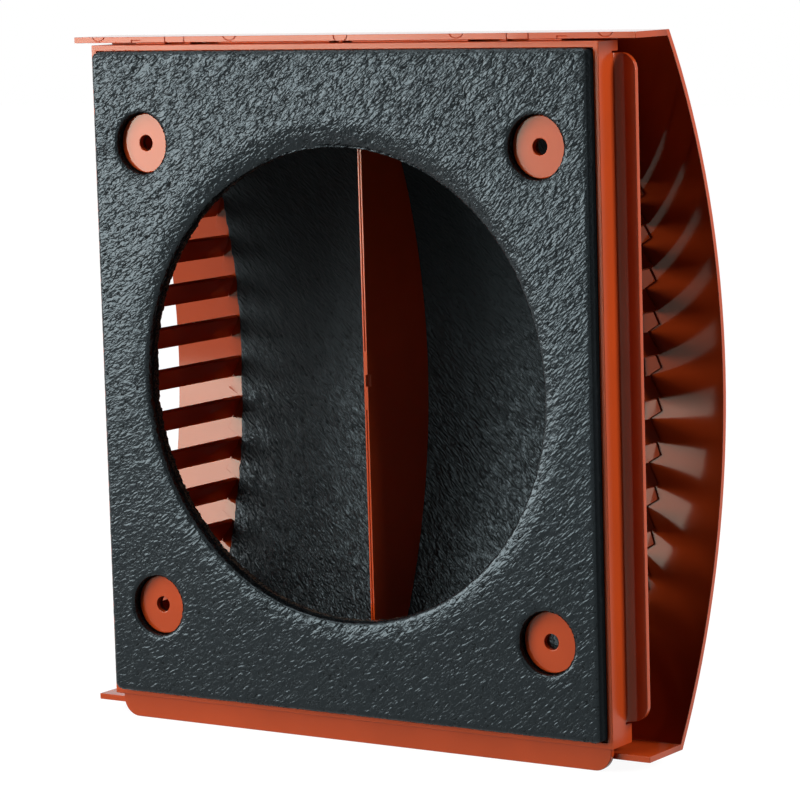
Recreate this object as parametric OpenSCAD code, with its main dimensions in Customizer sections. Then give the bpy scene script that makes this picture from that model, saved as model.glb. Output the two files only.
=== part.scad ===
// Wall vent hood: a welded sheet tray on the wall, a moulded foam lining with a round duct
// opening, a divider that splits the duct in two, a louvre on each side and a bowed front cover.
// X runs across the hood, Y out from the wall and Z up.
// The origin is the middle of the duct opening, on the plane that the four fixing discs and the
// tray's rim share. The foam stands out behind that plane, towards the wall.

/* [Wall tray] */
// Outer width of the tray
tray_w = 318; // [312:1:336]
// Outer height of the tray
tray_h = 357; // [350:1:380]
// Depth of the tray's walls
tray_depth = 19.4; // [17:0.2:26]
// Thickness of the tray's sheet, lips included
tray_sheet = 3.2; // [2:0.1:4]
// Thickness of the panel inside the tray
panel_t = 2; // [1.5:0.1:3]

/* [Lips] */
// How far each side lip stands out from the tray
side_lip_reach = 10.2; // [9:0.2:14]
// How far the side lips lie in front of the tray's rim
side_lip_back = 18; // [14:0.2:22]
// Inner radius of the bend into each side lip
side_lip_bend_r = 4.6; // [2:0.2:6]
// Distance from the tray's top to the lips' upper ends
side_lip_top_gap = 6.4; // [4:0.2:20]
// Distance from the tray's bottom to the lips' lower ends
side_lip_bottom_gap = 11.3; // [4:0.1:20]
// Corner radius of the side lips
side_lip_corner_r = 8.6; // [2:0.2:9]
// Width of the relief cut at each end of a side lip
relief_w = 0.8; // [0.4:0.1:2]
// How far the drip lip hangs below the tray
drip_lip_drop = 12.7; // [12.1:0.1:18]
// Distance from the tray's sides to the ends of the drip lip
drip_lip_inset = 3; // [1:0.5:20]
// How far the drip lip lies in front of the tray's rim
drip_lip_back = 3.2; // [1:0.1:5]
// Corner radius of the drip lip
drip_lip_corner_r = 10; // [2:0.5:12]

/* [Fixing discs] */
// Diameter of the discs
disc_d = 32; // [26:0.5:36]
// Thickness of the discs
disc_t = 3; // [2:0.1:4]
// Radius of the discs' rounded edge
disc_edge_r = 0.6; // [0.2:0.1:1]
// Diameter of the screw holes
screw_hole_d = 8.4; // [6:0.1:10]
// Distance from the tray's sides to the screws
screw_inset_x = 35; // [30:0.5:38]
// Distance from the tray's top and bottom to the screws
screw_inset_z = 52.5; // [40:0.5:56]

/* [Foam lining] */
// Diameter of the duct opening
duct_d = 250; // [236:1:252]
// Width of the shallow dish around the opening
dish_w = 15; // [8:0.5:20]
// Depth of the dish at the opening's edge
dish_depth = 2.4; // [0.5:0.1:3]
// Radius of the opening's rounded edge
duct_edge_r = 2; // [0.5:0.1:3]
// Gap between the foam and the sheet around it
foam_gap = 0.3; // [0.2:0.05:0.6]
// How far the foam's back stands out behind the tray's rim
foam_proud = 4.8; // [2:0.2:8]
// Thickness of the foam's collar in the panel's opening
collar_t = 5.7; // [3:0.1:8]
// Corner radius of the foam's back
foam_corner_r = 4; // [1:0.5:8]
// Gap between each disc and its pocket in the foam
pocket_gap = 0.6; // [0.3:0.1:1.5]
// Thickness of the foam behind the cover, at the divider
foam_mid_wall = 10.5; // [7:0.5:14]
// Thickness of the foam behind the cover, at the louvres
foam_edge_wall = 3.4; // [2:0.2:6]
// Half the height of the duct inside the foam
duct_half_h = 150; // [144:1:158]

/* [Divider] */
// Thickness of the divider
divider_t = 2.5; // [1.6:0.1:4]
// Distance from the tray's rim to the divider's rear edge
divider_back = 21.2; // [16:0.2:36]
// Width of the seam in the folded edge
seam_w = 0.5; // [0.2:0.1:0.6]
// Depth of the seam
seam_depth = 1; // [0.4:0.1:2]
// Length of the closed tab in the middle of the edge
tab_h = 31; // [20:1:40]
// Height of the notch in the tab
notch_h = 6.3; // [3:0.1:10]
// Depth of the notch
notch_depth = 3; // [1:0.5:5]

/* [Louvres] */
// Slats on each side
slat_n = 11; // [9:1:11]
// Distance from slat to slat
slat_pitch = 22.9; // [21:0.1:23.5]
// Thickness of a slat
slat_t = 3; // [1.5:0.1:3.4]
// How far a slat leans out
slat_run = 6.6; // [5:0.1:9]
// How far a slat drops
slat_drop = 11.3; // [9:0.1:13]
// Distance from the tray's side walls to the slats' outer edges
slat_inset = 15.8; // [10:0.1:18]
// Height of the middle of each louvre
louvre_z = -4.6; // [-8:0.1:8]
// Thickness of the toothed strip that holds the slats
comb_t = 1; // [0.8:0.1:2]
// How far the toothed strip reaches past the slats' inner edges
comb_margin = 0.8; // [0.4:0.1:2]
// Height of each tooth's point above the next slat
tooth_rise = 4; // [3:0.1:6]
// Thickness of the plates above and below the slats
cheek_t = 3; // [2:0.1:3.4]
// Gap at a welded joint
weld_gap = 0.2; // [0.1:0.05:0.4]

/* [Front cover] */
// How far the cover stands out beyond each side of the tray
cover_overhang = 17.2; // [12:0.2:30]
// Thickness of the cover's sheet
cover_sheet = 3.2; // [2:0.1:4]
// Gap between the tray's bottom and the cover's lower flange
cover_gap = 3.3; // [1:0.1:5]
// Gap between the drip lip and the cover's lower flange
flange_gap = 0.7; // [0.4:0.1:2]
// Depth of the cover's flanges
flange_depth = 33.9; // [30:0.1:42]
// How far the cover's front bows out between its flanges
cover_bow = 52.8; // [46:0.2:60]

/* [Hanger strip] */
// Width of the strip that the cover's top rests on
strip_w = 268; // [250:1:290]
// Thickness of the strip
strip_t = 1; // [0.8:0.1:2]
// Width of the strip's two long slots
strip_slot_w = 18.4; // [10:0.2:24]
// Distance from the middle to each long slot
strip_slot_x = 88; // [60:0.5:100]
// Width of the strip's two short slots
strip_notch_w = 5.8; // [3:0.2:8]
// Distance from the middle to each short slot
strip_notch_x = 4.1; // [4.1:0.1:10]
// Depth of the long and the short slots
strip_slot_depth = 6; // [3:0.5:8]
// Distance from the middle to the strip's two shallow slots
shallow_slot_x = 107.9; // [104:0.1:112]
// Width of the shallow slots
shallow_slot_w = 12.8; // [8:0.1:13]
// Depth of the shallow slots
shallow_slot_depth = 2.5; // [1:0.5:6]

/* [Flange marks] */
// Width of the marks that the joints leave in the upper flange's rear edge
mark_w = 0.5; // [0.3:0.1:0.8]
// Depth of the marks
mark_depth = 0.4; // [0.2:0.1:1]
// Radius of the round marks
round_mark_r = 5.2; // [4:0.1:8]
// How far the round marks reach down from the flange's top
round_mark_drop = 2.7; // [1:0.1:2.9]
// Distance from the middle to the inner round marks
round_mark_x = 71.4; // [60:0.1:76]
// Distance from the cover's sides to the outer round marks
round_mark_inset = 16.9; // [12:0.1:24]
// Radius of the mark in the middle
middle_mark_r = 4.7; // [4.2:0.1:6]
// Width of the mark in the middle
middle_mark_w = 0.8; // [0.4:0.1:1]
// Width of the hooked marks over the strip's ends
hook_w = 6.2; // [3:0.1:8]
// Height of the hooked marks
hook_h = 1.5; // [1:0.1:2.4]

/* [Hidden] */
// Places along Y, from the tray's rim outwards
panel_front_y = disc_t + panel_t;
side_bend_y = side_lip_back - side_lip_bend_r;
flange_y = drip_lip_back + tray_sheet + flange_gap;

// Widths that follow the tray's and the duct's
cover_w = tray_w + 2 * cover_overhang;
screw_x = tray_w / 2 - screw_inset_x;
screw_z = tray_h / 2 - screw_inset_z;
panel_hole_d = duct_d + 2 * (collar_t + foam_gap);

// The tray's inside and the foam that fills it
tray_in_w = tray_w - 2 * tray_sheet;
tray_in_h = tray_h - 2 * tray_sheet;
foam_w = tray_in_w - 2 * foam_gap;
foam_h = tray_in_h - 2 * foam_gap;

// The cover's front is an arc through its upper and lower corners
cover_under_z = tray_h / 2 + strip_t;
cover_top = cover_under_z + cover_sheet;
cover_bottom = -tray_h / 2 - cover_gap - cover_sheet;
cover_front_y = flange_y + flange_depth + cover_bow;
cover_mid_z = (cover_top + cover_bottom) / 2;
cover_half_h = (cover_top - cover_bottom) / 2;
cover_r = (cover_half_h * cover_half_h + cover_bow * cover_bow) / (2 * cover_bow);
arc_y = cover_front_y - cover_r;

// Radii of what lies behind the cover's front, all on the same centre
cover_in_r = cover_r - cover_sheet;
comb_front_r = cover_in_r - weld_gap;
comb_back_r = comb_front_r - comb_t;
slat_end_r = comb_back_r - weld_gap;
foam_front_r = cover_in_r - foam_gap;
duct_front_r = foam_front_r - foam_mid_wall;

// A slat's section: its upper edge lies inside, its lower edge outside
slat_out_x = tray_in_w / 2 - slat_inset;
slat_in_x = slat_out_x - slat_run;
slat_lean = atan(slat_run / slat_drop);
slat_under_x = slat_t * cos(slat_lean);
slat_under_z = slat_t * sin(slat_lean);
slat_top_z = louvre_z + (slat_n - 1) / 2 * slat_pitch + slat_drop / 2;
slats_end_z = slat_top_z - (slat_n - 1) * slat_pitch - slat_drop - slat_under_z;

// The louvres' inner edges and the foam between them
louvre_in_x = slat_in_x - slat_under_x - comb_margin;
foam_half_w = louvre_in_x - foam_gap;
duct_splay = atan((foam_mid_wall - foam_edge_wall) / foam_half_w);

over = 1;
// How far two arcs that run into each other overlap
arc_overlap = 0.002;
$fn = 96;
arc_fn = 360;

paint = "#c4532f";
paint_pale = "#dc8a6a";
foam_black = "#2b3236";

function side_word(side) = side < 0 ? "left" : "right";
function end_word(sz) = sz < 0 ? "bottom" : "top";
function comb_name(side) = str("comb_", side_word(side));
function cheek_name(side, sz) = str("cheek_", side_word(side), "_", end_word(sz));
function disc_name(side, sz) = str("disc_", side_word(side), "_", end_word(sz));
function slat_name(side, i) = str("slat_", side_word(side), "_", i);

// Height of a slat's upper edge, counted from the top slat
function slat_z(i) = slat_top_z - (i - 1) * slat_pitch;

// An outline, drawn across and up, made solid from one depth to another
module along_y(y0, y1) {
    translate([0, y1, 0])
        rotate([90, 0, 0])
            linear_extrude(y1 - y0)
                children();
}

// An outline, drawn out and up, made solid from one side to the other
module along_x(x0, x1) {
    translate([x0, 0, 0])
        rotate([90, 0, 90])
            linear_extrude(x1 - x0)
                children();
}

// A cylinder that runs out from the wall
module rod_y(d, y0, y1) {
    along_y(y0, y1)
        circle(d = d);
}

// A rectangle about the middle with rounded corners
module rounded_rect(w, h, r) {
    square([w - 2 * r, h], center = true);
    square([w, h - 2 * r], center = true);
    for (sx = [-1, 1])
        for (sz = [-1, 1])
            translate([sx * (w / 2 - r), sz * (h / 2 - r)])
                circle(r);
}

// What lies behind an arc on the cover's own centre, as an outline drawn out and up
module arc_outline(r) {
    translate([arc_y, cover_mid_z])
        circle(r, $fn = arc_fn);
}

module behind_arc(r) {
    along_x(-cover_w / 2 - over, cover_w / 2 + over)
        arc_outline(r);
}

// The four screws' places
module at_screws() {
    for (sx = [-1, 1])
        for (sz = [-1, 1])
            translate([sx * screw_x, 0, sz * screw_z])
                children();
}

module on_side(side) {
    mirror([side < 0 ? 1 : 0, 0, 0])
        children();
}

// The tray's right wall where it bends out into its lip, seen from above
module side_lip_section() {
    wall_x = tray_w / 2 - tray_sheet;
    bend_x = tray_w / 2 + side_lip_bend_r;
    translate([wall_x, side_bend_y - over])
        square([tray_sheet, over]);
    intersection() {
        translate([bend_x, side_bend_y])
            difference() {
                circle(side_lip_bend_r + tray_sheet);
                circle(side_lip_bend_r);
            }
        translate([wall_x, side_bend_y])
            square([side_lip_bend_r + tray_sheet, side_lip_bend_r + tray_sheet]);
    }
    translate([bend_x, side_lip_back])
        square([side_lip_reach - side_lip_bend_r, tray_sheet]);
}

module side_lip() {
    lip_bottom = -tray_h / 2 + side_lip_bottom_gap;
    lip_top = tray_h / 2 - side_lip_top_gap;
    lip_end_x = tray_w / 2 + side_lip_reach;
    outline_w = 2 * (side_lip_reach + tray_sheet + side_lip_corner_r);
    intersection() {
        translate([0, 0, lip_bottom])
            linear_extrude(lip_top - lip_bottom)
                side_lip_section();
        along_y(0, side_lip_back + tray_sheet + over)
            translate([lip_end_x - outline_w / 2, (lip_top + lip_bottom) / 2])
                rounded_rect(outline_w, lip_top - lip_bottom, side_lip_corner_r);
    }
}

// The room that a side lip's bend takes from the wall, with a relief cut at each end
module side_lip_room() {
    room_bottom = -tray_h / 2 + side_lip_bottom_gap - relief_w;
    room_top = tray_h / 2 - side_lip_top_gap + relief_w;
    translate([tray_w / 2 - tray_sheet - over, side_bend_y, room_bottom])
        cube([tray_sheet + 2 * over, tray_depth, room_top - room_bottom]);
}

module tray() {
    color(paint) {
        difference() {
            along_y(0, tray_depth)
                difference() {
                    square([tray_w, tray_h], center = true);
                    square([tray_in_w, tray_in_h], center = true);
                }
            for (side = [-1, 1])
                on_side(side)
                    side_lip_room();
        }
        for (side = [-1, 1])
            on_side(side)
                side_lip();
    }
}

module drip_lip() {
    lip_w = tray_w - 2 * drip_lip_inset;
    color(paint)
        along_y(drip_lip_back, drip_lip_back + tray_sheet)
            translate([0, -tray_h / 2])
                intersection() {
                    rounded_rect(lip_w, 2 * drip_lip_drop, drip_lip_corner_r);
                    translate([-lip_w / 2, -drip_lip_drop])
                        square([lip_w, drip_lip_drop]);
                }
}

module back_panel() {
    color(paint)
        difference() {
            along_y(disc_t, panel_front_y)
                square([tray_in_w, tray_in_h], center = true);
            rod_y(panel_hole_d, disc_t - over, panel_front_y + over);
            at_screws()
                rod_y(screw_hole_d, disc_t - over, panel_front_y + over);
        }
}

// A round plate that the wall screw clamps, with its rear edge rounded
module disc(sx, sz) {
    color(paint_pale)
        translate([sx * screw_x, 0, sz * screw_z])
            rotate([-90, 0, 0])
                rotate_extrude()
                    difference() {
                        translate([screw_hole_d / 2, 0])
                            square([(disc_d - screw_hole_d) / 2, disc_t]);
                        translate([disc_d / 2 - disc_edge_r, 0])
                            difference() {
                                square(disc_edge_r);
                                translate([0, disc_edge_r])
                                    circle(disc_edge_r);
                            }
                    }
}

// What the opening's mouth takes from the foam's back. Its section is a shallow arc for the
// dish, which runs on without a corner into the small arc of the opening's edge.
module duct_mouth() {
    dish_end_x = duct_d / 2 + dish_w;
    dish_r = (dish_w * dish_w + dish_depth * dish_depth) / (2 * dish_depth);
    between_x = dish_w - duct_edge_r;
    between_r = dish_r - duct_edge_r;
    edge_y = dish_r - sqrt(between_r * between_r - between_x * between_x);
    meeting_x = between_x * dish_r / between_r;
    translate([0, -foam_proud, 0])
        rotate([-90, 0, 0])
            rotate_extrude()
                difference() {
                    translate([0, -over])
                        square([dish_end_x, edge_y + over]);
                    translate([dish_end_x, dish_r])
                        intersection() {
                            circle(dish_r, $fn = arc_fn);
                            translate([-meeting_x, -dish_r])
                                square([meeting_x, 2 * dish_r]);
                        }
                    translate([duct_d / 2 + duct_edge_r, edge_y])
                        circle(duct_edge_r + arc_overlap);
                }
}

module foam_back() {
    color(foam_black)
        difference() {
            union() {
                along_y(-foam_proud, disc_t)
                    rounded_rect(foam_w, foam_h, foam_corner_r);
                rod_y(duct_d + 2 * collar_t, 0, panel_front_y);
            }
            rod_y(duct_d, -foam_proud - over, panel_front_y + over);
            duct_mouth();
            at_screws()
                rod_y(disc_d + 2 * pocket_gap, -foam_proud - over, disc_t + over);
        }
}

// One half of the duct inside the foam, which deepens from the divider to the louvre
module duct_half() {
    rotate([0, 0, duct_splay])
        along_x(0, cover_w / 2)
            intersection() {
                arc_outline(duct_front_r);
                translate([-cover_front_y, -duct_half_h])
                    square([2 * cover_front_y, 2 * duct_half_h]);
            }
}

module foam_shell() {
    color(foam_black)
        difference() {
            intersection() {
                translate([-foam_half_w, panel_front_y, -foam_h / 2])
                    cube([2 * foam_half_w, cover_front_y, foam_h]);
                behind_arc(foam_front_r);
            }
            for (side = [-1, 1])
                on_side(side)
                    duct_half();
        }
}

module divider() {
    divider_h = 2 * (duct_half_h - foam_gap);
    color(paint)
        difference() {
            along_x(-divider_t / 2, divider_t / 2)
                intersection() {
                    arc_outline(duct_front_r - foam_gap);
                    translate([divider_back, -divider_h / 2])
                        square([cover_front_y, divider_h]);
                }
            for (sz = [-1, 1])
                translate([0, divider_back, sz * (tab_h + divider_h) / 2])
                    cube([seam_w, 2 * seam_depth, divider_h], center = true);
            translate([0, divider_back - over, -notch_h / 2])
                cube([divider_t, notch_depth + over, notch_h]);
        }
}

// One louvre slat, which runs from the panel to the toothed strip
module slat(side, i) {
    color(paint)
        on_side(side)
            intersection() {
                along_y(panel_front_y, cover_front_y)
                    translate([0, slat_z(i)])
                        polygon([
                            [slat_in_x, 0],
                            [slat_out_x, -slat_drop],
                            [slat_out_x - slat_under_x, -slat_drop - slat_under_z],
                            [slat_in_x - slat_under_x, -slat_under_z]
                        ]);
                behind_arc(slat_end_r);
            }
}

// The toothed strip: between two slats its edge runs out to a point
module comb(side) {
    slat_corners = [for (i = [1:slat_n]) each [
        [slat_in_x, slat_z(i)],
        [slat_out_x - slat_under_x, slat_z(i) - slat_drop - slat_under_z],
        if (i < slat_n) [slat_out_x, slat_z(i + 1) + tooth_rise]
    ]];
    color(paint)
        on_side(side)
            difference() {
                intersection() {
                    along_y(0, cover_front_y)
                        polygon(concat(
                            [[louvre_in_x, foam_h / 2], [slat_in_x, foam_h / 2]],
                            slat_corners,
                            [[slat_in_x, slats_end_z - slat_under_x],
                             [slat_in_x, -foam_h / 2], [louvre_in_x, -foam_h / 2]]
                        ));
                    behind_arc(comb_front_r);
                }
                behind_arc(comb_back_r);
            }
}

// A plate that closes the louvre above or below its slats
module cheek(side, z0, z1) {
    color(paint)
        on_side(side)
            intersection() {
                translate([louvre_in_x, panel_front_y, z0])
                    cube([cheek_t, cover_front_y, z1 - z0]);
                behind_arc(slat_end_r);
            }
}

module top_cheek(side) {
    cheek(side, slat_top_z + weld_gap, foam_h / 2);
}

module bottom_cheek(side) {
    cheek(side, -foam_h / 2, slats_end_z - weld_gap);
}

// The sheet strip on the tray's top, with slots in its rear edge
module hanger_strip() {
    color(paint_pale)
        difference() {
            translate([-strip_w / 2, flange_y, tray_h / 2])
                cube([strip_w, tray_depth - flange_y, strip_t]);
            for (sx = [-1, 1]) {
                strip_slot(sx * strip_slot_x, strip_slot_w, strip_slot_depth);
                strip_slot(sx * strip_notch_x, strip_notch_w, strip_slot_depth);
                strip_slot(sx * shallow_slot_x, shallow_slot_w, shallow_slot_depth);
            }
        }
}

module strip_slot(x, w, depth) {
    translate([x - w / 2, flange_y - over, tray_h / 2 - over])
        cube([w, depth + over, strip_t + 2 * over]);
}

// The cover's outline, drawn out and up, with its front at a given radius
module cover_outline(r, inset) {
    intersection() {
        arc_outline(r);
        translate([flange_y, cover_bottom + inset])
            square([cover_front_y, cover_top - cover_bottom - 2 * inset]);
    }
}

// A mark's outline cut into the upper flange's rear edge, placed from the flange's top
module flange_mark(x) {
    along_y(flange_y - over, flange_y + mark_depth)
        translate([x, cover_top])
            children();
}

module round_mark(r, w, drop) {
    translate([0, r - drop])
        difference() {
            circle(r);
            circle(r - w);
        }
}

module upright_mark() {
    translate([-mark_w / 2, -cover_sheet - over])
        square([mark_w, cover_sheet + 2 * over]);
}

// Runs up from the flange's underside and then to the right
module hooked_mark() {
    translate([-hook_w / 2, -cover_sheet - over])
        square([mark_w, hook_h + over]);
    translate([-hook_w / 2, hook_h - mark_w - cover_sheet])
        square([hook_w, mark_w]);
}

module flange_marks() {
    flange_mark(0)
        round_mark(middle_mark_r, middle_mark_w, middle_mark_r);
    for (sx = [-1, 1]) {
        flange_mark(sx * round_mark_x)
            round_mark(round_mark_r, mark_w, round_mark_drop);
        flange_mark(sx * (cover_w / 2 - round_mark_inset))
            round_mark(round_mark_r, mark_w, round_mark_drop);
        flange_mark(sx * (shallow_slot_x - shallow_slot_w / 2))
            upright_mark();
        flange_mark(sx * (shallow_slot_x + shallow_slot_w / 2))
            upright_mark();
        flange_mark(sx * strip_w / 2)
            hooked_mark();
    }
}

module cover() {
    color(paint)
        difference() {
            along_x(-cover_w / 2, cover_w / 2)
                difference() {
                    cover_outline(cover_r, 0);
                    cover_outline(cover_in_r, cover_sheet);
                }
            flange_marks();
        }
}

tray();
drip_lip();
back_panel();
foam_back();
foam_shell();
divider();
hanger_strip();
cover();
for (side = [-1, 1]) {
    comb(side);
    top_cheek(side);
    bottom_cheek(side);
    for (sz = [1, -1])
        disc(side, sz);
    for (i = [1:slat_n])
        slat(side, i);
}
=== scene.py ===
from math import pi, radians

import bmesh
import bpy
from mathutils import Euler, Matrix, Vector, noise


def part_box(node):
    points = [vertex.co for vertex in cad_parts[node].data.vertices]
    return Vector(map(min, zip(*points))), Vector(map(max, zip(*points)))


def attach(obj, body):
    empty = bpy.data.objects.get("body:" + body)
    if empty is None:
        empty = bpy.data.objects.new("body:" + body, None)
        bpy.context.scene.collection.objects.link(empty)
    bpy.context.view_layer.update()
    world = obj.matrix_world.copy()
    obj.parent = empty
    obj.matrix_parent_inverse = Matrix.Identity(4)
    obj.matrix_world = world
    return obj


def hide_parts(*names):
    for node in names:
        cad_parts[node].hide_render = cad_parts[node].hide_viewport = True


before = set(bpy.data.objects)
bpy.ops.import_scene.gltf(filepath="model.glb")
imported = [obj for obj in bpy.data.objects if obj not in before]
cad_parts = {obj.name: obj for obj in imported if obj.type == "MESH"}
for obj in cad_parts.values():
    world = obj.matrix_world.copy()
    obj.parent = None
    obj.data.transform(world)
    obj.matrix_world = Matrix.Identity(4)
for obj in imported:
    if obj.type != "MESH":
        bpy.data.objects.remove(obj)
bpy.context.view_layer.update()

MM = 0.001

# Noise vectors start from the clock unless the seed is set
noise.seed_set(1)

# The foam's back, with its opening, the dish around it and a pocket round each disc
FOAM_LOW, FOAM_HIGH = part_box("foam_back")
DUCT_R = 125 * MM
DISH_W = 15 * MM
POCKET_R = 16.6 * MM
FOAM_EDGE_R = 3.0 * MM
DISCS = ("disc_left_top", "disc_left_bottom", "disc_right_top", "disc_right_bottom")

# How deep the dish gets at the opening, above, below, left and right of it (below 0: raised)
DISH_ABOVE = 2.2 * MM
DISH_BELOW = -1.25 * MM
DISH_LEFT = -1.5 * MM
DISH_RIGHT = -0.9 * MM

# How far the skin's lumps rise on the foam's back and in the duct, and how ragged the cut is
LINING_GRAIN = 0.42 * MM
DUCT_GRAIN = 0.5 * MM
CUT_RAGGED = 0.7 * MM

# How fine the two foam meshes are, and how far the sheets' edges are rounded
BACK_VOXEL = 1.25 * MM
DUCT_VOXEL = 1.9 * MM
SHEET_EDGE_R = 0.45 * MM

# The arc of the cover's inner face, about a level axis along X
COVER_ARC_Y = -252.68 * MM
COVER_ARC_Z = -1.15 * MM
COVER_INNER_R = 343.28 * MM

# Where the floor lies, how white it looks, and how bright the room is beside the lamps
FLOOR_Z = -191.2 * MM
FLOOR_REACH = 6.0
FLOOR_GLOW = 0.94
ROOM_LIGHT = 0.02

# How bright the floor and the room look in what mirrors them
FLOOR_NEAR = 1.0
FLOOR_FAR = 7.0
ROOM_BEFORE = 0.35
ROOM_BEHIND = 1.0
ROOM_ABOVE = 1.6

# The wall of soft light at the camera's left: its middle, the level directions out of it and
# along it, how far it stands from the hood, its left end and where its layers end at the right
WALL_MIDDLE = (-1.70, -1.75)
WALL_FACING = (0.697, 0.717)
WALL_ALONG = (0.717, -0.697)
WALL_AWAY = 2.43
WALL_LEFT = -0.85
WALL_RIGHT = (0.50, 0.62, 0.80)
WALL_STEP = 20 * MM

# Colours
TERRACOTTA = (0.50, 0.059, 0.0095, 1.0)
# Near black: painted shade for the panel, which shows only in the gaps round the discs
PAINTED_SHADE_COAT = (0.06, 0.010, 0.004, 1.0)
# Painted shade in the foam's creases, darker than its lumps
FOAM_CREASE_SHADE = (0.001, 0.001, 0.001, 1.0)
FOAM_LUMP = (0.003, 0.004, 0.005, 1.0)
FOAM_DUCT_LUMP = (0.003, 0.004, 0.004, 1.0)
# Painted light: the paler tone on the duct's lumps towards the bottom
FOAM_LOW_PAINTED_LIGHT = (0.010, 0.012, 0.0125, 1.0)
# Bare cut foam, warmed with painted light bounced from the painted sheets
FOAM_CUT_AND_BOUNCE = (0.085, 0.058, 0.038, 1.0)
PAINT_GLOSS_TINT = (1.0, 0.98, 0.8, 1.0)
FOAM_GLOSS_TINT = (0.74, 0.93, 1.0, 1.0)
ROOM_COLOUR = (0.85, 0.93, 1.0, 1.0)
FLOOR_COLOUR = (0.08, 0.08, 0.08, 1.0)
WHITE = (1.0, 1.0, 1.0, 1.0)


# Node trees

class Graph:
    """Places nodes in a tree and links them by plain calls."""

    def __init__(self, tree):
        self.tree = tree

    def add(self, kind, **settings):
        node = self.tree.nodes.new(kind)
        for key, value in settings.items():
            setattr(node, key, value)
        return node

    def link(self, output, target):
        self.tree.links.new(output, target)

    def value(self, target, source):
        """Links the source to the target socket, or sets it there if it is a plain value."""
        if isinstance(source, bpy.types.NodeSocket):
            self.link(source, target)
        else:
            target.default_value = source

    def math(self, operation, a, b=0.0, clamp=False):
        node = self.add("ShaderNodeMath", operation=operation, use_clamp=clamp)
        self.value(node.inputs[0], a)
        self.value(node.inputs[1], b)
        return node.outputs[0]

    def product(self, first, *others):
        for other in others:
            first = self.math("MULTIPLY", first, other)
        return first

    def radius(self, a, b):
        """Length of the level or upright vector with the parts a and b."""
        return self.math("SQRT", self.math("ADD", self.product(a, a), self.product(b, b)))

    def ramp(self, source, low, high, to_low=0.0, to_high=1.0):
        """A smooth step from to_low at low to to_high at high."""
        node = self.add("ShaderNodeMapRange", interpolation_type="SMOOTHSTEP")
        self.value(node.inputs["Value"], source)
        node.inputs["From Min"].default_value = low
        node.inputs["From Max"].default_value = high
        node.inputs["To Min"].default_value = to_low
        node.inputs["To Max"].default_value = to_high
        return node.outputs["Result"]

    def noise(self, vector, scale, detail=2.0, roughness=0.5, output="Fac"):
        node = self.add("ShaderNodeTexNoise")
        self.value(node.inputs["Vector"], vector)
        self.value(node.inputs["Scale"], scale)
        node.inputs["Detail"].default_value = detail
        node.inputs["Roughness"].default_value = roughness
        return node.outputs[output]

    def vector(self, operation, a, b):
        """A sum or a difference of two vectors, or a vector scaled by b."""
        node = self.add("ShaderNodeVectorMath", operation=operation)
        self.value(node.inputs[0], a)
        self.value(node.inputs["Scale"] if operation == "SCALE" else node.inputs[1], b)
        return node.outputs[0]

    def split(self, vector):
        node = self.add("ShaderNodeSeparateXYZ")
        self.link(vector, node.inputs[0])
        return node.outputs

    def blend(self, factor, a, b):
        """Colour a where the factor is 0, and colour b where it is 1."""
        node = self.add("ShaderNodeMix", data_type="RGBA")
        self.value(node.inputs[0], factor)
        self.value(node.inputs[6], a)
        self.value(node.inputs[7], b)
        return node.outputs[2]

    def bump(self, height, distance, strength=1.0):
        node = self.add("ShaderNodeBump")
        node.inputs["Strength"].default_value = strength
        node.inputs["Distance"].default_value = distance
        self.value(node.inputs["Height"], height)
        return node.outputs["Normal"]

    def group(self, tree, vector, values=None):
        """A node group fed with a vector and with values by their sockets' names."""
        node = self.add("ShaderNodeGroup", node_tree=tree)
        self.link(vector, node.inputs["Vector"])
        for name, value in (values or {}).items():
            node.inputs[name].default_value = value
        return node.outputs


def new_group(name, values, outputs):
    """A node group with a vector and some values as inputs."""
    tree = bpy.data.node_groups.new(name, "ShaderNodeTree")
    tree.interface.new_socket(name="Vector", in_out="INPUT", socket_type="NodeSocketVector")
    for socket_name, value in values.items():
        socket = tree.interface.new_socket(name=socket_name, in_out="INPUT",
                                           socket_type="NodeSocketFloat")
        socket.default_value = value
    for socket_name, kind in outputs.items():
        tree.interface.new_socket(name=socket_name, in_out="OUTPUT", socket_type=kind)
    graph = Graph(tree)
    inside = graph.add("NodeGroupInput").outputs
    return graph, inside, graph.add("NodeGroupOutput").inputs


def powder_coat_group():
    """Orange peel and cloudy tone of a baked powder coat, in object space."""
    graph, inside, out = new_group("powder_coat",
                                   {"Peel size mm": 0.9, "Cloud size mm": 60.0},
                                   {"Cloud": "NodeSocketFloat", "Peel": "NodeSocketFloat"})
    peel_scale = graph.math("DIVIDE", 1 / MM, inside["Peel size mm"])
    cloud_scale = graph.math("DIVIDE", 1 / MM, inside["Cloud size mm"])
    peel = graph.noise(inside["Vector"], peel_scale, detail=1.5)
    cloud = graph.noise(inside["Vector"], cloud_scale, detail=3.0, roughness=0.55)
    graph.link(peel, out["Peel"])
    graph.link(graph.ramp(cloud, 0.3, 0.7), out["Cloud"])
    return graph.tree


def foam_flow_group():
    """Object space bent along the way the skin flowed in its mould. The slope of the flow turns
    from left to right, and the lumps are drawn out along it."""
    graph, inside, out = new_group("foam_flow",
                                   {"Slope": 0.9, "Turn per metre": 5.0, "Stretch": 1.6},
                                   {"Vector": "NodeSocketVector"})
    x, y, z = graph.split(inside["Vector"])
    turn = graph.product(inside["Turn per metre"], 0.5)
    slope = graph.math("ADD", inside["Slope"], graph.product(x, turn))
    across = graph.math("SUBTRACT", z, graph.product(slope, x))
    joined = graph.add("ShaderNodeCombineXYZ")
    graph.link(graph.math("DIVIDE", x, inside["Stretch"]), joined.inputs["X"])
    graph.link(y, joined.inputs["Y"])
    graph.link(graph.product(across, 0.75), joined.inputs["Z"])
    graph.link(joined.outputs[0], out["Vector"])
    return graph.tree


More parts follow.
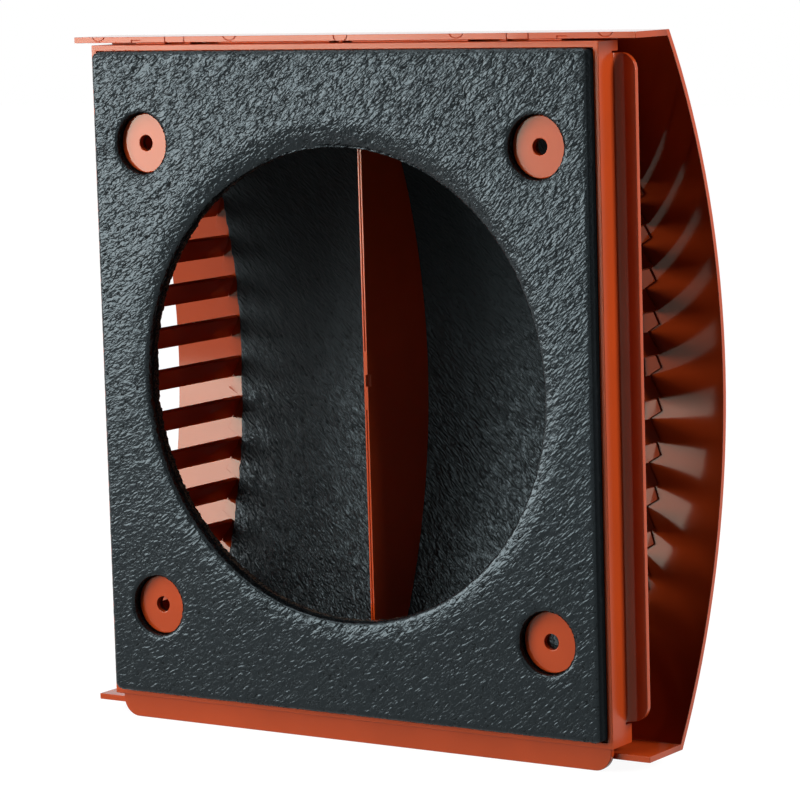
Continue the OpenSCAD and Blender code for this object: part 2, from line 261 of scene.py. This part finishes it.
def foam_grain_group():
    """Leathery skin of moulded foam: rounded lumps with sharp creases between, in any space.
    Height is the relief, and Hollow falls to 0 in the creases."""
    graph, inside, out = new_group("foam_grain",
                                   {"Lump mm": 3.0, "Wander": 0.25},
                                   {"Height": "NodeSocketFloat", "Hollow": "NodeSocketFloat"})
    in_lumps = graph.vector("SCALE", inside["Vector"],
                            graph.math("DIVIDE", 1 / MM, inside["Lump mm"]))
    warp = graph.noise(in_lumps, 0.7, output="Color")
    wander = graph.vector("SCALE", graph.vector("SUBTRACT", warp, (0.5, 0.5, 0.5)),
                          inside["Wander"])
    mapping = graph.add("ShaderNodeMapping")
    mapping.inputs["Scale"].default_value = (0.75, 1.0, 1.0)
    graph.link(graph.vector("ADD", in_lumps, wander), mapping.inputs["Vector"])
    drawn = mapping.outputs["Vector"]

    def puffs(size, gap):
        """Rounded lumps with sharp valleys between them, which close up to gap in places."""
        fold = graph.noise(drawn, size, detail=1.0, roughness=0.45)
        away = graph.math("ABSOLUTE", graph.math("SUBTRACT", fold, 0.5))
        place = graph.noise(in_lumps, size * 0.6 + 0.13, detail=1.0)
        closed = graph.ramp(place, 0.40, 0.62, 0.0, gap)
        return graph.math("MAXIMUM", graph.math("MULTIPLY", away, 4.0, clamp=True), closed)

    large = puffs(1.00, 0.30)
    small = puffs(1.85, 0.45)
    grit = graph.noise(drawn, 0.55, detail=1.0)
    broad = graph.noise(in_lumps, 0.22)
    height = graph.product(large, 0.62)
    for layer, share in ((small, 0.30), (grit, 0.80), (broad, 1.0)):
        height = graph.math("ADD", height, graph.product(layer, share))
    graph.link(height, out["Height"])
    graph.link(graph.product(graph.ramp(large, 0.0, 0.18),
                             graph.ramp(small, 0.0, 0.20, 0.3, 1.0)), out["Hollow"])
    return graph.tree


POWDER_COAT = powder_coat_group()
FOAM_FLOW = foam_flow_group()
FOAM_GRAIN = foam_grain_group()


# Materials

def new_material(name):
    material = bpy.data.materials.new(name)
    material.use_nodes = True
    graph = Graph(material.node_tree)
    shader = material.node_tree.nodes["Principled BSDF"].inputs
    where = graph.add("ShaderNodeTexCoord").outputs["Object"]
    return material, graph, shader, where


def painted_shade_inside_cover(graph, where):
    """Mask for painted shade: rises from 0 to 1 towards the depth of the hood, behind the cover's
    inner face, and falls to half towards the left, where the light comes in.
    """
    x, y, z = graph.split(where)
    from_arc = graph.radius(graph.math("SUBTRACT", y, COVER_ARC_Y),
                            graph.math("SUBTRACT", z, COVER_ARC_Z))
    behind = graph.math("LESS_THAN", from_arc, COVER_INNER_R + 0.3 * MM)
    aside = graph.ramp(graph.math("ABSOLUTE", x), 20 * MM, 60 * MM)
    inward = graph.ramp(y, 22 * MM, 50 * MM)
    less_shade_at_left = graph.ramp(x, -120 * MM, -60 * MM, 0.5, 1.0)
    return graph.product(behind, aside, inward, less_shade_at_left)


def paint_material(name, colour, rough, peel, cloudy_share=0.88, painted_shade_share=0.38):
    """Powder coat with a slight gloss, cloudy in tone, and with painted shade that darkens it
    deep inside the hood. The roughness goes from rough[0] in the light clouds to rough[1] in the
    dark ones."""
    material, graph, shader, where = new_material(name)
    coat = graph.group(POWDER_COAT, where)
    cloudy = tuple(c * cloudy_share for c in colour[:3]) + (1.0,)
    deep = tuple(c * painted_shade_share for c in colour[:3]) + (1.0,)
    tone = graph.blend(coat["Cloud"], cloudy, colour)
    # Painted shade: the coat turns darker deep inside the hood, behind the cover's inner face
    graph.link(graph.blend(painted_shade_inside_cover(graph, where), tone, deep), shader["Base Color"])
    graph.link(graph.ramp(coat["Cloud"], 0.0, 1.0, rough[1], rough[0]), shader["Roughness"])
    shader["Specular Tint"].default_value = PAINT_GLOSS_TINT
    shader["Specular IOR Level"].default_value = 0.25
    graph.link(graph.bump(coat["Peel"], 0.2 * MM, strength=peel), shader["Normal"])
    return material


def terracotta_coat():
    """The coat of most sheets."""
    return paint_material("terracotta_powder_coat", TERRACOTTA, rough=(0.065, 0.09), peel=0.02)


def terracotta_tray_coat():
    """The tray's coat, which mirrors less sharply."""
    return paint_material("terracotta_tray", TERRACOTTA, rough=(0.18, 0.22), peel=0.03)


def painted_shade_coat():
    """The panel's near-black coat: painted shade for the narrow gaps round the discs, the only
    place where it shows.
    """
    return paint_material("painted_shade_powder_coat", PAINTED_SHADE_COAT, rough=(0.5, 0.6), peel=0.05)


def foam_material(name, lump_mm, slope, turn, lump_colour, lump_rough, gloss, relief, vary):
    """Black moulded foam, whose grain follows the flow of its skin. The creases are matt, and
    painted darker as shade.
    vary takes the graph, the place, the Hollow socket and the skin's colour, and returns the
    colour, a least roughness and a factor for the relief."""
    material, graph, shader, where = new_material(name)
    flow = graph.group(FOAM_FLOW, where,
                       {"Slope": slope, "Turn per metre": turn, "Stretch": 1.8})
    grain = graph.group(FOAM_GRAIN, flow["Vector"], {"Lump mm": lump_mm})
    # Painted shade: the creases are darker than the lumps
    skin = graph.blend(grain["Hollow"], FOAM_CREASE_SHADE, lump_colour)
    skin, matt, depth = vary(graph, where, grain["Hollow"], skin)
    graph.link(skin, shader["Base Color"])
    gleam = graph.ramp(grain["Hollow"], 0.0, 1.0, 1.0, lump_rough)
    graph.link(graph.math("MAXIMUM", gleam, matt), shader["Roughness"])
    shader["Specular Tint"].default_value = FOAM_GLOSS_TINT
    shader["Specular IOR Level"].default_value = gloss
    graph.link(graph.bump(graph.product(grain["Height"], depth), relief), shader["Normal"])
    return material


def raw_foam_and_bounce(graph, where):
    """Specks where the opening's wall was cut: bare foam, in a warm brown that is partly painted
    light bounced from the painted sheets.
    """
    x, y, z = graph.split(where)
    wall = graph.ramp(graph.radius(x, z), DUCT_R + 0.3 * MM, DUCT_R + 1.0 * MM, 1.0, 0.0)
    cut = graph.ramp(y, -0.2 * MM, 1.4 * MM)
    specks = graph.ramp(graph.noise(where, 900.0, roughness=0.6), 0.42, 0.62)
    return graph.product(wall, cut, specks)


def foam_back_skin():
    """The skin at the wall side: calmer towards the bottom, matt along the right edge and brown
    where the opening was cut, as bare foam partly toned with painted bounced light."""
    def vary(graph, where, hollow, skin):
        x, _, z = graph.split(where)
        matt = graph.ramp(x, FOAM_HIGH.x - 2.4 * MM, FOAM_HIGH.x - 1.2 * MM)
        depth = graph.ramp(z, -40 * MM, 185 * MM, 0.30, 1.0)
        # Painted light in part: the cut wall's specks take a warm brown bounced from the paint
        return graph.blend(raw_foam_and_bounce(graph, where), skin, FOAM_CUT_AND_BOUNCE), matt, depth

    return foam_material("foam_skin", lump_mm=2.1, slope=0.55, turn=1.0, lump_colour=FOAM_LUMP,
                         lump_rough=0.15, gloss=0.26, relief=0.62 * MM, vary=vary)


def foam_duct_skin():
    """The skin inside the hood: matt and black above, and below, a paler tone on the lumps that
    is painted light.
    """
    def vary(graph, where, hollow, skin):
        towards_bottom = graph.ramp(graph.split(where)["Z"], 110 * MM, -120 * MM)
        # Painted light: the lumps turn paler towards the bottom of the duct
        skin = graph.blend(graph.product(towards_bottom, hollow), skin, FOAM_LOW_PAINTED_LIGHT)
        return skin, graph.math("SUBTRACT", 1.0, towards_bottom), 1.0

    return foam_material("foam_duct_skin", lump_mm=2.1, slope=-0.9, turn=0.0,
                         lump_colour=FOAM_DUCT_LUMP, lump_rough=0.34, gloss=0.44,
                         relief=1.2 * MM, vary=vary)


# Meshes

def merged_copy(node):
    """The node's mesh as one closed skin with flat faces joined up."""
    bm = bmesh.new()
    bm.from_mesh(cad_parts[node].data)
    bmesh.ops.remove_doubles(bm, verts=bm.verts, dist=0.002 * MM)
    bmesh.ops.dissolve_limit(bm, angle_limit=radians(0.2), verts=bm.verts, edges=bm.edges)
    return bm


def new_object(bm, name, material):
    """Turns the bmesh into an object at the origin."""
    mesh = bpy.data.meshes.new(name)
    bm.to_mesh(mesh)
    bm.free()
    mesh.materials.append(material)
    piece = bpy.data.objects.new(name, mesh)
    bpy.context.scene.collection.objects.link(piece)
    return piece


def riding_copy(node, name, material):
    """A smooth-shaded copy of the node that rides on the hood in its place, while the node is
    hidden.
    """
    bm = merged_copy(node)
    for face in bm.faces:
        face.smooth = True
    piece = new_object(bm, name, material)
    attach(piece, "root")
    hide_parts(node)
    return piece


def remeshed(piece, voxel):
    """Gives the piece an even mesh and returns it as a bmesh with fresh normals."""
    remesh = piece.modifiers.new("skin", "REMESH")
    remesh.mode = "VOXEL"
    remesh.voxel_size = voxel
    remesh.use_smooth_shade = True
    bpy.context.view_layer.update()
    graph = bpy.context.evaluated_depsgraph_get()
    mesh = bpy.data.meshes.new_from_object(piece.evaluated_get(graph))
    old = piece.data
    piece.modifiers.clear()
    piece.data = mesh
    mesh.name = piece.name
    bpy.data.meshes.remove(old)
    bm = bmesh.new()
    bm.from_mesh(piece.data)
    bm.normal_update()
    return bm


def sheet(node, material):
    """A painted sheet piece whose cut edges are slightly rounded."""
    piece = riding_copy(node, node + "_sheet", material)
    bevel = piece.modifiers.new("edges", "BEVEL")
    bevel.width = SHEET_EDGE_R
    bevel.segments = 2
    bevel.limit_method = "ANGLE"
    bevel.angle_limit = radians(35)
    flat = piece.modifiers.new("flat_faces", "WEIGHTED_NORMAL")
    flat.keep_sharp = True
    flat.weight = 100
    return piece


def sheets():
    """Every painted piece. The panel hides behind the foam and stays the CAD's own."""
    coat = terracotta_coat()
    tray_coat = terracotta_tray_coat()
    for node in sorted(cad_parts):
        if node not in ("foam_back", "foam_shell", "back_panel"):
            sheet(node, tray_coat if node == "tray" else coat)
    # The panel's coat is painted shade for the gaps round the discs
    panel_coat = painted_shade_coat()
    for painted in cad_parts["back_panel"].material_slots:
        painted.material = panel_coat


def lining_grain(co):
    """Height of the skin's lumps at a point of the foam's back, drawn out up to the right."""
    along = Vector((co.x + co.z, 0, co.z - co.x)) / 2 ** 0.5
    p = Vector((along.x / 5.5, 0, along.z / 3.2)) / MM
    warp = noise.noise_vector(p * 0.35) * 0.8
    return (0.5 - abs(noise.noise(p + warp))) * LINING_GRAIN


def dish_depth(co, r):
    """How far the dish round the opening sinks in at a point of the foam's back."""
    share = min(1.0, max(0.0, (DUCT_R + DISH_W - r) / DISH_W))
    side = co.x / r
    up = (co.z / r) ** 2
    upright = DISH_ABOVE * share ** 1.5 if co.z > 0 else DISH_BELOW * share ** 2
    level = DISH_RIGHT * side if side > 0 else -DISH_LEFT * side
    return upright * up + level * share ** 2


def ragged_cut(co, r):
    """Step in or out of the opening's wall, where it was cut."""
    ragged = noise.noise(co / (2.2 * MM)) * min(1.0, co.y / (3 * MM))
    return Vector((-co.x, 0, -co.z)) / r * ragged * CUT_RAGGED


def round_pocket(vert, middle):
    """Draws a point near the rim of a disc's pocket onto the rim."""
    out = Vector((vert.co.x - middle.x, 0, vert.co.z - middle.z))
    if abs(out.length - POCKET_R) < 0.9 * MM:
        vert.co += out.normalized() * (POCKET_R - out.length)


def rounded_right_edge(x):
    """The least y that a point of the foam may have, because of its rounded right edge."""
    past = min(FOAM_EDGE_R, max(0.0, x - (FOAM_HIGH.x - FOAM_EDGE_R)))
    return FOAM_LOW.y + FOAM_EDGE_R - (FOAM_EDGE_R ** 2 - past ** 2) ** 0.5


def foam_lining():
    """The foam's back, with its grain, its pockets and the dish around the opening."""
    piece = riding_copy("foam_back", "foam_lining", foam_back_skin())
    bm = remeshed(piece, BACK_VOXEL)
    pockets = [(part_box(disc)[0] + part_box(disc)[1]) / 2 for disc in DISCS]
    near_wall = DUCT_R + 1 * MM
    for vert in bm.verts:
        co = vert.co.copy()
        r = (co.x ** 2 + co.z ** 2) ** 0.5
        if vert.normal.y > -0.3 and co.y > 0.5 * MM and r > near_wall:
            continue
        move = vert.normal * lining_grain(co)
        if vert.normal.y < -0.4:
            move.y += dish_depth(co, r)
        if r < near_wall and co.y > 0:
            move += ragged_cut(co, r)
        vert.co = co + move
        for middle in pockets:
            round_pocket(vert, middle)
        vert.co.y = max(vert.co.y, rounded_right_edge(vert.co.x))
    bm.to_mesh(piece.data)
    bm.free()


def foam_duct():
    """The foam inside the hood, with slight lumps in the duct halves."""
    piece = riding_copy("foam_shell", "foam_duct", foam_duct_skin())
    bm = remeshed(piece, DUCT_VOXEL)
    for vert in bm.verts:
        if vert.normal.y < 0.2:
            p = Vector((vert.co.x / 7.0, vert.co.y / 7.0, vert.co.z / 11.0)) / MM
            vert.co += vert.normal * noise.noise(p) * DUCT_GRAIN
    bm.to_mesh(piece.data)
    bm.free()


# Stage

def background_share(graph, mirrored_share):
    """1 for the camera's rays, mirrored_share for reflected and transmitted ones, else 0."""
    path = graph.add("ShaderNodeLightPath").outputs
    mirrored = graph.math("MAXIMUM", path["Is Glossy Ray"], path["Is Transmission Ray"])
    return graph.math("MAXIMUM", path["Is Camera Ray"], graph.product(mirrored, mirrored_share))


def floor_in_mirror(graph, where):
    """How bright the floor looks in what mirrors it: brighter towards the wall of light, and
    plain again behind it and to its right."""
    x, y, _ = graph.split(where)
    away = graph.math("ADD", graph.product(x, -WALL_FACING[0]), graph.product(y, -WALL_FACING[1]))
    along = graph.math("ADD", graph.product(x, WALL_ALONG[0]), graph.product(y, WALL_ALONG[1]))
    lit = graph.product(graph.ramp(away, 1.5, 2.9), graph.ramp(along, 0.35, 0.62, 1.0, 0.35),
                        graph.math("LESS_THAN", away, WALL_AWAY))
    return graph.math("ADD", graph.product(lit, FLOOR_FAR), FLOOR_NEAR)


def pale_floor():
    material, graph, shader, where = new_material("pale_floor")
    shader["Base Color"].default_value = FLOOR_COLOUR
    shader["Roughness"].default_value = 0.9
    shader["Emission Color"].default_value = WHITE
    share = background_share(graph, floor_in_mirror(graph, where))
    graph.link(graph.product(share, FLOOR_GLOW), shader["Emission Strength"])
    bm = bmesh.new()
    bmesh.ops.create_grid(bm, x_segments=1, y_segments=1, size=FLOOR_REACH)
    bmesh.ops.translate(bm, verts=bm.verts, vec=(0, 0, FLOOR_Z))
    floor = new_object(bm, "floor", material)


def white_world():
    """White to the camera, dim as light, and brighter above and behind in what mirrors it."""
    world = bpy.data.worlds.new("studio")
    world.use_nodes = True
    bpy.context.scene.world = world
    graph = Graph(world.node_tree)
    room = world.node_tree.nodes["Background"]
    room.inputs["Color"].default_value = ROOM_COLOUR
    room.inputs["Strength"].default_value = ROOM_LIGHT
    white = graph.add("ShaderNodeBackground")
    white.inputs["Color"].default_value = WHITE
    _, y, z = graph.split(graph.add("ShaderNodeTexCoord").outputs["Generated"])
    behind = graph.ramp(y, 0.3, 0.8, ROOM_BEFORE, ROOM_BEHIND)
    above = graph.ramp(z, 0.05, 0.55, 0.0, ROOM_ABOVE)
    mix = graph.add("ShaderNodeMixShader")
    graph.link(background_share(graph, graph.math("MAXIMUM", behind, above)), mix.inputs[0])
    graph.link(room.outputs[0], mix.inputs[1])
    graph.link(white.outputs[0], mix.inputs[2])
    graph.link(mix.outputs[0], world.node_tree.nodes["World Output"].inputs["Surface"])


def soft_light(name, place, aim, size, power):
    lamp = bpy.data.lights.new(name, "AREA")
    lamp.shape = "RECTANGLE"
    lamp.size, lamp.size_y = size
    lamp.energy = power
    light = bpy.data.objects.new(name, lamp)
    light.location = place
    light.rotation_euler = (Vector(aim) - Vector(place)).to_track_quat("-Z", "Y").to_euler()
    bpy.context.scene.collection.objects.link(light)


def softbox(name, low, high, glow):
    """A band of the wall of light from low to high, in layers that fade out at its right. Each
    layer stands a step behind the last, so that a mirrored ray meets all of them."""
    facing = Vector((*WALL_FACING, 0))
    along = Vector((*WALL_ALONG, 0))
    middle = Vector((*WALL_MIDDLE, (low + high) / 2))
    for layer, right in enumerate(WALL_RIGHT):
        place = middle + along * (right + WALL_LEFT) / 2 - facing * layer * WALL_STEP
        size = (right - WALL_LEFT, high - low)
        power = glow * pi * size[0] * size[1] / len(WALL_RIGHT)
        soft_light("%s_%d" % (name, right * 100), place, place + facing, size, power)


def lamps():
    middle = (0, 0, 0)
    softbox("key", low=-0.19, high=0.80, glow=13.0)
    softbox("high", low=0.80, high=2.20, glow=2.2)
    soft_light("top", (-0.60, -1.10, 1.60), middle, size=(0.9, 0.9), power=16)
    soft_light("side", (1.15, 0.58, 0.45), middle, size=(0.35, 0.6), power=17)


def camera():
    """The photograph's own view, turned a little about the line of sight."""
    data = bpy.data.cameras.new("camera")
    data.sensor_width = 36
    data.lens = 162.59
    data.clip_end = 50
    eye = bpy.data.objects.new("camera", data)
    eye.location = (1.06811, -1.54364, 0.23237)
    aim = Euler((radians(90 - 7.31), 0, radians(33.78))).to_matrix()
    roll = Matrix.Rotation(radians(-1.64), 3, "Z")
    eye.rotation_euler = (aim @ roll).to_euler()
    bpy.context.scene.collection.objects.link(eye)
    bpy.context.scene.camera = eye


foam_lining()
foam_duct()
sheets()
pale_floor()
white_world()
lamps()
camera()
bpy.context.scene.view_settings.view_transform = "Standard"
